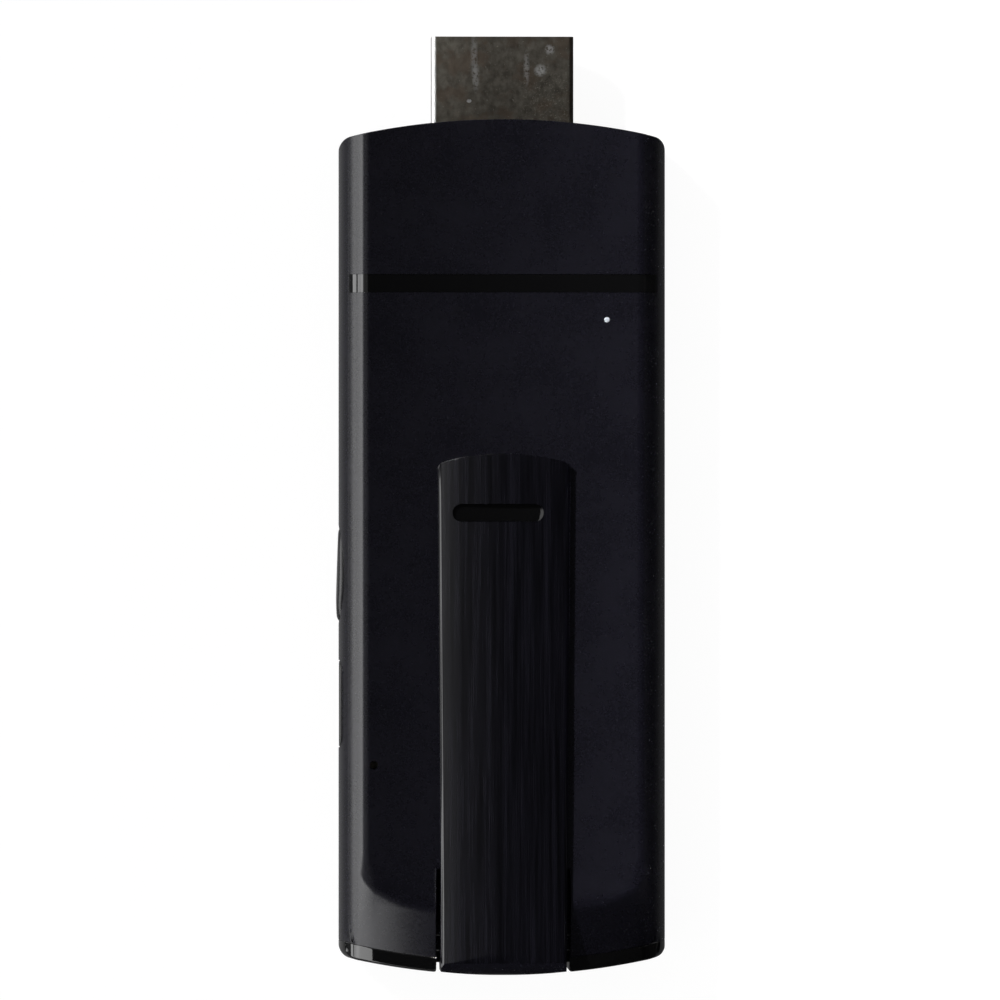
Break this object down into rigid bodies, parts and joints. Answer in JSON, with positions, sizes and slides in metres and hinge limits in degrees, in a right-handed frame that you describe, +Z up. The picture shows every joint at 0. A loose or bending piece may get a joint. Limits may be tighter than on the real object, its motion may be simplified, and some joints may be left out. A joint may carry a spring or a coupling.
{
  "type": "wireless display receiver",
  "caption": "Slim stick-shaped wireless display receiver with a display plug at its nose, a side key, a power port and an antenna paddle that folds out of its tail.",
  "frame": {"origin": "middle of the flat underside, in the plane of symmetry of the housing and halfway between nose and tail", "axes": "+Y out of the display plug, +Z up through the face that carries the paddle, +X to the right seen from above with the plug away from the viewer"},
  "size_m": [0.0323, 0.0917, 0.0125],
  "materials": {
    "shell_matte": "fine matte texture with a faint fleck",
    "gloss_black": "polished",
    "brushed_black": "satin with fine hairlines along the paddle",
    "key_black": "smooth satin",
    "plug_steel": "dull, with wear from use",
    "insulator_black": "moulded",
    "contact_gold": "gold plated",
    "board_green": "solder mask",
    "chip_black": "moulded",
    "can_silver": "tinned sheet",
    "component_tan": "ceramic",
    "ferrite_grey": "pressed ferrite",
    "pad_grey": "soft silicone",
    "spreader_aluminium": "mill finish",
    "switch_ivory": "moulded",
    "led_white": "cast",
    "pipe_clear": "clear, polished",
    "screw_steel": "zinc plated",
    "cable_black": "smooth sheath",
    "antenna_copper": "copper on film"
  },
  "bodies": {
    "housing": {"lower_housing": "shell_matte", "upper_cover": "shell_matte", "trim_band": "gloss_black", "end_cap": "gloss_black", "circuit_board": "board_green", "board_screws": "screw_steel", "plug_shell": "plug_steel", "plug_insulator": "insulator_black", "plug_contacts": "contact_gold", "port_shell": "can_silver", "port_tongue": "insulator_black", "port_contacts": "contact_gold", "processor": "chip_black", "memory_chips": "chip_black", "flash_chip": "chip_black", "wifi_module": "can_silver", "power_inductor": "ferrite_grey", "board_capacitors": "component_tan", "clock_crystal": "can_silver", "thermal_pads": "pad_grey", "heat_spreader": "spreader_aluminium", "key_switch_body": "chip_black", "reset_switch_body": "chip_black", "status_led": "led_white", "light_pipe": "pipe_clear", "coax_plug": "contact_gold", "antenna_cable": "cable_black"},
    "key": {"side_key": "key_black"},
    "key_plunger": {"key_switch_plunger": "switch_ivory"},
    "reset_plunger": {"reset_switch_plunger": "switch_ivory"},
    "paddle": {"paddle_base": "shell_matte", "paddle_skin": "brushed_black", "antenna_strip": "antenna_copper"}
  },
  "joints": [
    {"name": "paddle_hinge", "type": "hinge", "parent": "housing", "child": "paddle", "pos_m": [0, -0.0371, 0.0079], "axis": [1, 0, 0], "range_deg": [0, 180]},
    {"name": "key_press", "type": "slide", "parent": "housing", "child": "key", "axis": [1, 0, 0], "range_m": [0, 0.00025], "stiffness_N_per_m": 200, "springref_m": -0.0005},
    {"name": "key_plunger_travel", "type": "slide", "parent": "housing", "child": "key_plunger", "axis": [1, 0, 0], "range_m": [0, 0.00025]},
    {"name": "reset_press", "type": "slide", "parent": "housing", "child": "reset_plunger", "axis": [0, 0, -1], "range_m": [0, 0.00025], "stiffness_N_per_m": 200, "springref_m": -0.0005}
  ],
  "couplings": [
    {"joint": "key_plunger_travel", "follows": "key_press", "ratio": 1}
  ]
}
